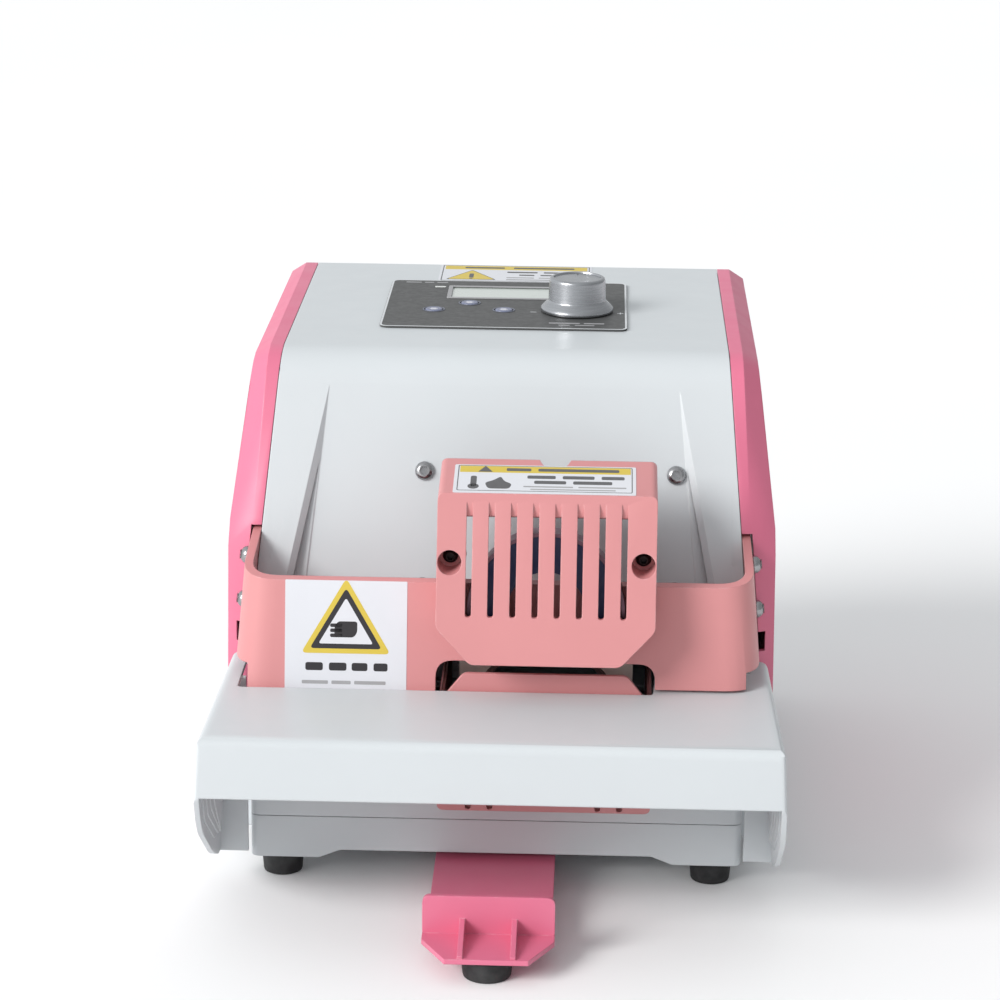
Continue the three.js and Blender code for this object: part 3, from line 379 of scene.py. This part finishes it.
MATERIALS = {
    "white_cover": plastic("white_cover", WHITE, 0.38, variation=0.012, seed=1.3),
    "pink_cover": plastic("pink_cover", PINK, 0.4, seed=2.1),
    "salmon_cover": plastic("salmon_cover", SALMON, 0.42, seed=3.7),
    "black_rubber": rubber("black_rubber", (0.012, 0.012, 0.013)),
    "steel": metal("steel", (0.56, 0.57, 0.59), 0.34, stretch=UPRIGHT),
    "screw_steel": metal("screw_steel", (0.36, 0.36, 0.37), 0.28, scale=900),
    "black_steel": metal("black_steel", (0.03, 0.025, 0.025), 0.5, scale=900),
    "knob_metal": metal(
        "knob_metal", (0.40, 0.41, 0.43), 0.27, stretch=UPRIGHT, grain=0.01, scale=90, uneven=0.03
    ),
    "panel_film": film("panel_film", (0.066, 0.067, 0.067), 0.5, variation=0.015),
    "display_window": plastic(
        "display_window", (0.52, 0.57, 0.53), 0.16, variation=0.02, grain=0.01, wear=0.0, seed=5.0, coat=1.0
    ),
    "key_cap": plastic(
        "key_cap", (0.15, 0.17, 0.27), 0.34, variation=0.05, grain=0.03, wear=0.2, seed=7.0, coat=0.3
    ),
    "blue_silicone": rubber("blue_silicone", (0.02, 0.035, 0.13), 0.5, seed=5.0),
    "clip_metal": metal("clip_metal", (0.20, 0.12, 0.15), 0.45, scale=300),
    "heater_metal": metal("heater_metal", (0.16, 0.12, 0.11), 0.55, stretch=LENGTHWAYS),
    "insulation": film("insulation", (0.62, 0.60, 0.54), 0.85, variation=0.08, seed=9.0),
    "dark_plastic": plastic(
        "dark_plastic", (0.022, 0.023, 0.025), 0.45, variation=0.1, grain=0.1, wear=0.06, seed=8.0
    ),
    "circuit_board": film("circuit_board", (0.02, 0.16, 0.07), 0.4, variation=0.1, seed=10.0),
    "brass_nut": metal("brass_nut", (0.55, 0.40, 0.15), 0.3, scale=500),
    "label_white": film("label_white", (0.66, 0.67, 0.71), 0.4, variation=0.01, seed=11.0),
    "label_yellow": film("label_yellow", (0.62, 0.47, 0.06), 0.42, variation=0.03, seed=12.0),
    "label_black": film("label_black", (0.022, 0.02, 0.024), 0.45, variation=0.05, seed=18.0),
    "label_grey": film("label_grey", (0.10, 0.10, 0.105), 0.5, variation=0.05, seed=13.0),
    "label_pale": film("label_pale", (0.33, 0.33, 0.34), 0.5, variation=0.05, seed=14.0),
    "panel_line": film("panel_line", (0.60, 0.62, 0.64), 0.4, variation=0.03, seed=15.0),
    "key_ring": film("key_ring", (0.13, 0.14, 0.18), 0.45, variation=0.03, seed=17.0),
    "lamp": plastic(
        "lamp", (0.70, 0.72, 0.70), 0.2, variation=0.02, grain=0.01, wear=0.0, seed=16.0, coat=0.6
    ),
}

for part in frame["record"]["subparts"]:
    slots = NODES[part["node"]].data.materials
    slots.clear()
    slots.append(MATERIALS[part["material_slot"]])


def piece(obj, body, slot, material=None, replaces=()):
    obj.data.materials.clear()
    obj.data.materials.append(MATERIALS[material or slot])
    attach(obj, body)
    if replaces:
        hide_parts(*replaces)
    return obj


for cad in NODES.values():
    smoothed(cad)


# ---------- Screws ----------
def axis_of(node, direction):
    """The point on a round node's axis that is as high as the node reaches, in mm."""
    verts = [v.co / MM for v in NODES[node].data.vertices]
    places = {tuple(round(c, 2) for c in v) for v in verts}
    middle = sum((Vector(place) for place in places), Vector()) / len(places)
    reach = max(v.dot(direction) for v in verts)
    return middle + direction * (reach - middle.dot(direction))


SCREW_SEGMENTS = 48
SHANK_DEPTH = 5.0  # below the head
DOME_END = math.radians(80)
DOME_STEPS = 8


def button_screw(node, direction, radius, height):
    """A domed head with a hexagon socket, whose top is the top of the CAD screw."""
    direction = Vector(direction).normalized()
    top = axis_of(node, direction)
    shank, rim = radius * 0.42, radius * 0.56
    edge = height * 0.9
    profile = [(0, -height - SHANK_DEPTH), (shank, -height - SHANK_DEPTH), (shank, -height)]
    profile += [(radius * 0.96, -height), (radius, -edge)]
    for step in range(1, DOME_STEPS + 1):
        angle = DOME_END * step / DOME_STEPS
        rise = edge * math.sin(angle) / math.sin(DOME_END)
        profile.append((radius * math.cos(angle), rise - edge))
    profile += [(rim, 0.0), (rim * 0.94, -0.25), (0, -0.25)]
    body = joined(node + "_turned", [lathe(profile, SCREW_SEGMENTS, top, direction)])
    return carved(body, hexagon_hole(rim * 0.86, -height * 0.62, 2.0, top, direction))


def hexagon_hole(radius, low, high, at, direction):
    turn = Vector((0, 0, 1)).rotation_difference(direction)
    angles = [math.tau * side / 6 for side in range(6)]
    corners = [Vector((math.cos(angle), math.sin(angle), 0)) * radius for angle in angles]
    verts = [turn @ Vector((p.x, p.y, h)) + at for h in (low, high) for p in corners]
    faces = [list(range(6))[::-1], list(range(6, 12))]
    faces += [[i, (i + 1) % 6, 6 + (i + 1) % 6, 6 + i] for i in range(6)]
    return verts, faces


def carved(obj, shape):
    """Cuts a closed shape out of an object, for good."""
    cutter = joined(obj.name + "_cutter", [shape])
    cut = obj.modifiers.new("cut", "BOOLEAN")
    cut.operation = "DIFFERENCE"
    cut.solver = "EXACT"
    cut.object = cutter
    graph = bpy.context.evaluated_depsgraph_get()
    mesh = bpy.data.meshes.new_from_object(obj.evaluated_get(graph))
    obj.modifiers.clear()
    obj.data = mesh
    bpy.data.objects.remove(cutter)
    mesh.shade_smooth()
    mesh.set_sharp_from_angle(angle=math.radians(30))
    return obj


SHELL_NORMAL = (0, -1, 0.364)
BAND_SIDE_RISE = 0.085
for node in NODES:
    dark = None
    if node.startswith("shell_screw"):
        made = button_screw(node, SHELL_NORMAL, radius=5.6, height=3.6)
    elif node.startswith("band_screw"):
        side = -1 if "left" in node else 1
        made = button_screw(node, (side, 0, BAND_SIDE_RISE), radius=5.4, height=5.2)
    elif node.startswith("guard_screw"):
        made = button_screw(node, (0, -1, 0), radius=4.4, height=3.8)
        dark = "black_steel"
    else:
        continue
    piece(made, "housing", "screw_steel", dark, replaces=(node,))


# ---------- Feet ----------
def rubber_foot(node, body):
    low, high = box_mm(node)
    radius = (high.x - low.x) / 2
    height = high.z - low.z
    middle = (low + high) / 2
    floor = radius - 1.1  # the foot narrows towards the bench
    profile = [
        (0, 1.6),
        (floor * 0.45, 1.6),
        (floor * 0.5, 0.6),
        (floor * 0.62, 0.0),
        (floor - 1.2, 0.0),
        (floor - 0.3, 0.35),
        (floor, 1.2),
        (radius, height - 0.8),
        (radius - 0.8, height),
        (0, height),
    ]
    foot = joined(node + "_moulded", [lathe(profile, 56, (middle.x, middle.y, low.z))], 40)
    piece(foot, body, "black_rubber", replaces=(node,))


for node in NODES:
    if node.startswith("foot_"):
        rubber_foot(node, "housing")
rubber_foot("stabiliser_foot", "stabiliser")


# ---------- Control panel ----------
film_low, film_high = box_mm("panel_overlay")
FILM_PLANE = level(0, 0, film_high.z)


def film_outline(inset):
    """The film's outline, drawn in from its edge."""
    corner = 5.0 - inset * 0.6
    return rectangle(film_low.x + inset, film_high.x - inset, film_low.y + inset, film_high.y - inset, corner)


def panel_border():
    inset, width = 0.15, 1.15
    strip = ring_prism(film_outline(inset), film_outline(inset + width), 0, 0.12, FILM_PLANE)
    piece(joined("panel_border", [strip]), "housing", "panel_film", "panel_line")


def panel_print():
    """Short pale bars where the panel would carry its captions."""
    x0, y0 = film_low.x, film_low.y
    rows = [
        (film_high.y - 6.5, 2.2, [(x0 + 9, x0 + 19), (x0 + 21, x0 + 27), (x0 + 29, x0 + 36)]),
        (y0 + 14.5, 2.4, [(x0 + 103, x0 + 122), (x0 + 124.5, x0 + 137)]),
        (y0 + 9.5, 1.8, [(x0 + 109, x0 + 116), (x0 + 119, x0 + 131)]),
    ]
    made = joined("panel_print", bars(rows, FILM_PLANE, 0, 0.08))
    piece(made, "housing", "panel_film", "label_pale")


def display_bezel():
    low, high = box_mm("display")
    beyond, over = 1.6, 1.2
    outer = rectangle(low.x - beyond, high.x + beyond, low.y - beyond, high.y + beyond, 1.2)
    inner = rectangle(low.x + over, high.x - over, low.y + over, high.y - over, 0.8)
    bezel = joined("display_bezel", [ring_prism(outer, inner, 0, 0.55, FILM_PLANE)])
    bevelled(bezel, 0.2, 2)
    piece(bezel, "housing", "panel_film", "label_pale")


def key_button(node, body):
    low, high = box_mm(node)
    middle = (low + high) / 2
    radius, rounding, stem = 5.4, 0.7, 6
    top = high.z
    profile = [(0, top - stem), (radius, top - stem), (radius, top - rounding)]
    for step in range(1, 7):
        angle = math.radians(90) * step / 6
        across, up = rounding * math.cos(angle), rounding * math.sin(angle)
        profile.append((radius - rounding + across, top - rounding + up))
    profile += [(radius * 0.7, top + 0.05), (radius * 0.4, top - 0.15), (0, top - 0.25)]
    cap = joined(node + "_cap", [lathe(profile, 48, (middle.x, middle.y, 0))], 40)
    piece(cap, body, "key_cap", replaces=(node,))
    icon = [
        rectangle(-2.6, 2.6, -0.35, 0.35, 0.2),
        rectangle(-1.6, 1.6, 1.1, 1.7, 0.2),
        rectangle(-1.6, 1.6, -1.7, -1.1, 0.2),
    ]
    plane = level(middle.x, middle.y, top)
    piece(joined(node + "_icon", [prism(o, -0.3, 0.08, plane) for o in icon]), body, "key_cap", "label_white")
    outer = circle(middle.x, middle.y, 7.0, 48)
    inner = circle(middle.x, middle.y, 6.1, 48)
    ring = joined(node + "_ring", [ring_prism(outer, inner, 0, 0.35, FILM_PLANE)])
    bevelled(ring, 0.12, 2)
    piece(ring, "housing", "panel_film", "key_ring")


def panel_marks():
    """A minus and a plus beside the knob, and the status lamp."""
    knob_low, knob_high = box_mm("knob")
    middle = (knob_low + knob_high) / 2
    size, thin, away = 1.9, 0.35, 27.0
    y = middle.y - 5
    minus, plus = middle.x - away, middle.x + away
    strokes = [rectangle(x - size, x + size, y - thin, y + thin) for x in (minus, plus)]
    marks = [prism(stroke, 0, 0.1, FILM_PLANE) for stroke in strokes]
    marks.append(prism(rectangle(plus - thin, plus + thin, y - size, y + size), 0, 0.11, FILM_PLANE))
    piece(joined("turn_marks", marks), "housing", "panel_film", "panel_line")
    outline = rectangle(-50.5, -43.5, film_high.y - 21, film_high.y - 18.5, 0.6)
    lamp = joined("status_lamp", [prism(outline, 0, 0.5, FILM_PLANE)])
    bevelled(lamp, 0.2, 2)
    piece(lamp, "housing", "panel_film", "lamp")


def knob():
    low, high = box_mm("knob")
    middle = (low + high) / 2
    height = high.z - low.z
    profile = [
        (0, 4.0),
        (4.2, 4.0),
        (4.2, 0.0),
        (21.9, 0.0),
        (22.4, 0.3),
        (22.5, 0.8),
        (22.5, 1.9),
        (22.2, 2.5),
        (20.6, 4.2),
        (18.4, 6.3),
        (18.0, 6.8),
        (17.8, 7.4),
        (17.4, height - 2.2),
        (17.2, height - 1.2),
        (16.8, height - 0.5),
        (16.0, height - 0.1),
        (15.2, height),
        (14.7, height - 0.1),
        (14.4, height - 0.9),
        (14.0, height - 1.0),
        (7.0, height - 1.0),
        (0, height - 1.0),
    ]
    made = joined("knob_turned", [lathe(profile, 96, (middle.x, middle.y, low.z))], 38)
    piece(made, "knob_turn", "knob_metal", replaces=("knob",))
    face = level(middle.x, middle.y, high.z - 1.0)
    line = prism(rectangle(-0.5, 0.5, 9.5, 13.6, 0.4), 0, 0.12, face)
    piece(joined("knob_pointer", [line]), "knob_turn", "knob_metal", "label_grey")


panel_border()
panel_print()
display_bezel()
for side in ("left", "middle", "right"):
    key_button(f"key_{side}", f"key_{side}_cap")
panel_marks()
knob()


# ---------- Stepped layers inside the drawer's side walls ----------
WALL_LEAN = 0.055  # outwards for each mm of drop
WALL_SPREAD = 0.022  # outwards for each mm towards the front
WALL_INNER_X = 157.5 - 3.05  # at the drawer's top rear: its half width less the sheet and a hair
LAYERS_TOP = 94.0
LAYER_STEP = 0.55
LAYER_SINK = 0.2  # into the layer or wall behind


def wall_layers(side):
    low, high = box_mm("tray_cover")
    out = WALL_INNER_X + WALL_SPREAD * (high.y - low.y) + WALL_LEAN * (high.z - LAYERS_TOP)
    origin = Vector((side * out, low.y, LAYERS_TOP))
    along = Vector((-side * WALL_SPREAD, 1, 0)).normalized()
    down = Vector((side * WALL_LEAN, 0, -1)).normalized()
    plane = (origin, along, down) if side > 0 else (origin, down, along)
    shapes = []
    for number in range(4):
        start = 4 + number * 9
        outline = [(88, 2), (88, 58), (min(84, start + 66), 54), (start + 22, 25), (start + 6, 2)]
        ordered = rounded(outline, 3.5)
        if side < 0:
            ordered = [Vector((p.y, p.x)) for p in ordered]
        foot, face = number * LAYER_STEP - LAYER_SINK, (number + 1) * LAYER_STEP
        shapes.append(prism(ordered, foot, face, plane))
    name = "left" if side < 0 else "right"
    piece(joined(f"tray_layers_{name}", shapes), "drawer", "white_cover")


for side in (-1, 1):
    wall_layers(side)


# ---------- Labels ----------
def triangle(cx, cy, half, corner):
    points = [(cx - half, cy - half * 0.6), (cx + half, cy - half * 0.6), (cx, cy + half * 1.1)]
    return rounded(points, corner)


LABEL = 0.18  # thickness of a label
INK = 0.06  # and of each printed layer


def label(name, body, slot, plane, outline, inks):
    """A label and its printed layers, each a little proud of the one below."""
    piece(joined(name, [prism(outline, 0, LABEL, plane)]), body, slot, "label_white")
    for i, (material, shapes) in enumerate(inks):
        piece(joined(f"{name}_ink_{i}", shapes), body, slot, material)


def layer(number):
    """The foot and the face of a printed layer, counted from the label up."""
    return LABEL + number * INK - 0.02, LABEL + (number + 1) * INK


BAND_TOP_Z = 188.0
BAND_FOOT_Z = 106.0
BAND_LABEL_X = -86.0


def band_label():
    low, _ = box_mm("band")
    top_y = low.y + (BAND_TOP_Z - BAND_FOOT_Z) * BAND_LEAN
    up = Vector((0, BAND_LEAN, 1)).normalized()
    plane = ((BAND_LABEL_X, top_y, BAND_TOP_Z), (1, 0, 0), up)
    width, height = 34.8, 64.0
    outline = rectangle(-width, width, -height, 0.2, 0.6)
    a, b = layer(0)
    c, d = layer(1)
    e, f = layer(2)
    g, h = layer(3)
    cy = -26.5
    palm = rounded(
        [(-6.5, cy - 6), (4.5, cy - 6), (6.5, cy - 3), (6.5, cy + 3.2), (-4.5, cy + 3.2), (-6.5, cy)], 1.6
    )
    fingers = [rectangle(-9, -2, cy - 6 + k * 2.9, cy - 3.9 + k * 2.9, 1.0) for k in range(3)]
    words = [(-49.5, 4.6, [(-23, -13), (-9.5, 0.5), (3.5, 12.5), (16, 24)])]
    small_words = [(-58.6, 2.0, [(-25, -10), (-8, 3), (5, 23)])]
    inks = [
        ("label_yellow", [prism(triangle(0, cy, 25.6, 3.4), a, b, plane)]),
        ("label_black", [prism(triangle(0, cy - 0.2, 20.6, 2.6), c, d, plane)]),
        ("label_white", [prism(triangle(0, cy - 0.4, 15.6, 1.6), e, f, plane)]),
        ("label_black", [prism(o, g, h, plane) for o in [palm, *fingers]]),
        ("label_black", bars(words, plane, a, b)),
        ("label_pale", bars(small_words, plane, a, b)),
    ]
    label("band_label", "housing", "salmon_cover", plane, outline, inks)


def guard_label():
    slope = Vector((0, 1, GUARD_TOP_SLOPE)).normalized()
    plane = ((HEAD_X, guard_front_edge(), GUARD_TOP_FRONT_Z), (1, 0, 0), slope)
    outline = rectangle(-53.5, 49.5, 0.6, 34.8, 1.2)
    border = rectangle(-51.5, 47.5, 3.2, 33.8, 1.2), rectangle(-51.0, 47.0, 3.7, 33.3, 1.0)
    a, b = layer(0)
    c, d = layer(1)
    thermometer = [rectangle(-44, -40.6, 8, 21, 1.6), circle(-42.3, 8.5, 3.2, 24)]
    flame = rounded([(-34, 6), (-22, 6), (-20.5, 12), (-25, 15), (-27, 21), (-31, 16), (-36, 13)], 2.4)
    heading = [(29.2, 3.4, [(-24, -10), (-6, 40)])]
    words = [(20.6, 3.8, [(-12, 4), (8, 26), (30, 43)]), (14.4, 3.8, [(-8, 10), (14, 36)])]
    small_words = [(9.0, 1.4, [(-14, 14), (17, 44)]), (5.8, 1.2, [(-10, 38)])]
    inks = [
        ("label_grey", [ring_prism(*border, a, b, plane)]),
        ("label_yellow", [prism(rectangle(-50.5, 46.5, 25.5, 33.0, 0.5), a, b, plane)]),
        ("label_grey", [prism(triangle(-36, 28.6, 4.2, 0.6), c, d, plane)]),
        ("label_grey", bars(heading, plane, c, d)),
        ("label_grey", [prism(o, a, b, plane) for o in [*thermometer, flame]]),
        ("label_grey", bars(words, plane, a, b)),
        ("label_pale", bars(small_words, plane, a, b)),
    ]
    label("guard_label", "housing", "salmon_cover", plane, outline, inks)


def guard_front_edge():
    """Where the guard's front meets its top."""
    verts = [v.co / MM for v in NODES["upper_guard"].data.vertices]
    return min(v.y for v in verts if abs(v.z - GUARD_TOP_FRONT_Z) < 0.6)


def top_label():
    _, high = box_mm("front_shell")
    plane = level(0, film_high.y, high.z)
    outline = rectangle(-50, 49.5, 4.0, 52.5, 0.8)
    border = rectangle(-48.6, 48.1, 5.4, 51.1, 1), rectangle(-48, 47.5, 6, 50.5, 0.8)
    a, b = layer(0)
    c, d = layer(1)
    e, f = layer(2)
    exclamation = [rectangle(-30.4, -27.6, 14, 26, 0.9), rectangle(-30, -28, 10.6, 12.4, 0.9)]
    heading = [(44.2, 4, [(-34, -8), (-2, 38)])]
    words = [(32, 3.6, [(-6, 14), (18, 34)]), (24, 3.2, [(2, 12), (16, 30)])]
    small_words = [(16, 2.4, [(-6, 12), (15, 40)]), (10, 2.4, [(-6, 34)])]
    inks = [
        ("label_grey", [ring_prism(*border, a, b, plane)]),
        ("label_yellow", [prism(rectangle(-47, 46.5, 39, 49.5, 0.5), a, b, plane)]),
        ("label_grey", [prism(triangle(-29, 19, 16.5, 2), a, b, plane)]),
        ("label_yellow", [prism(triangle(-29, 19, 15.2, 2), c, d, plane)]),
        ("label_grey", [prism(o, e, f, plane) for o in exclamation]),
        ("label_grey", bars(heading, plane, c, d)),
        ("label_grey", bars(words, plane, a, b)),
        ("label_pale", bars(small_words, plane, a, b)),
    ]
    label("top_label", "housing", "white_cover", plane, outline, inks)


band_label()
guard_label()
top_label()


# ---------- Stage ----------
def pale_floor():
    reach = 9000
    places = [(-reach, -reach, 0), (reach, -reach, 0), (reach, reach, 0), (-reach, reach, 0)]
    floor = mesh_object("floor", places, [(0, 1, 2, 3)])
    made = Recipe("floor_paint")
    cloud = made.spread(made.noise(0.8, 3, seed=20), 0, 1)
    paint = made.mix(cloud, (0.93, 0.93, 0.935, 1), (0.945, 0.945, 0.95, 1))
    floor.data.materials.append(made.finish(paint, made.spread(cloud, 0.55, 0.65, 0, 1)))


def soft_sun(azimuth, elevation, spread, strength, colour):
    """A broad distant light. Azimuth 0 shines from the front, negative from the left."""
    data = bpy.data.lights.new("sun", "SUN")
    data.angle = math.radians(spread)
    data.energy = strength * math.pi
    data.color = colour
    lamp = bpy.data.objects.new("sun", data)
    side, rise = math.radians(azimuth), math.radians(elevation)
    source = Vector((math.sin(side) * math.cos(rise), -math.cos(side) * math.cos(rise), math.sin(rise)))
    lamp.rotation_mode = "QUATERNION"
    lamp.rotation_quaternion = source.to_track_quat("Z", "Y")
    bpy.context.scene.collection.objects.link(lamp)


def studio():
    """The sun, and a sky that is brighter on the left."""
    soft_sun(azimuth=-52, elevation=29, spread=26, strength=0.86, colour=(1.0, 0.985, 0.97))
    world = bpy.data.worlds.new("studio")
    bpy.context.scene.world = world
    world.use_nodes = True
    tree = world.node_tree
    sky = tree.nodes["Background"]
    place = tree.nodes.new("ShaderNodeTexCoord")
    parts = tree.nodes.new("ShaderNodeSeparateXYZ")
    glow = tree.nodes.new("ShaderNodeMapRange")
    ends = {"From Min": -0.8, "From Max": 0.8, "To Min": 1.0, "To Max": 0.45}
    for key, value in ends.items():
        glow.inputs[key].default_value = value
    tree.links.new(place.outputs["Generated"], parts.inputs[0])
    tree.links.new(parts.outputs["X"], glow.inputs["Value"])
    tree.links.new(glow.outputs[0], sky.inputs["Strength"])
    sky.inputs["Color"].default_value = (0.96, 0.985, 1.0, 1)


LENS = 111.86
CAMERA_PLACE = (0.05466, -1.78273, 0.74181)
YAW, PITCH, ROLL = 1.8346, 16.734, 0.557  # degrees: left of +Y, down, and clockwise


def camera():
    yaw, pitch, roll = (math.radians(a) for a in (YAW, PITCH, ROLL))
    forward = Vector((-math.sin(yaw) * math.cos(pitch), math.cos(yaw) * math.cos(pitch), -math.sin(pitch)))
    right = Vector((math.cos(yaw), math.sin(yaw), 0))
    up = right.cross(forward)
    rolled = math.cos(roll) * right + math.sin(roll) * up
    upright = -math.sin(roll) * right + math.cos(roll) * up
    data = bpy.data.cameras.new("camera")
    data.lens = LENS
    data.sensor_width = 36
    data.clip_end = 50
    view = bpy.data.objects.new("camera", data)
    turn = Matrix((rolled, upright, -forward)).transposed().to_4x4()
    view.matrix_world = Matrix.Translation(CAMERA_PLACE) @ turn
    bpy.context.scene.collection.objects.link(view)
    bpy.context.scene.camera = view


pale_floor()
studio()
camera()
bpy.context.scene.view_settings.view_transform = "Standard"


def corners(box):
    return [list(corner) for corner in box]
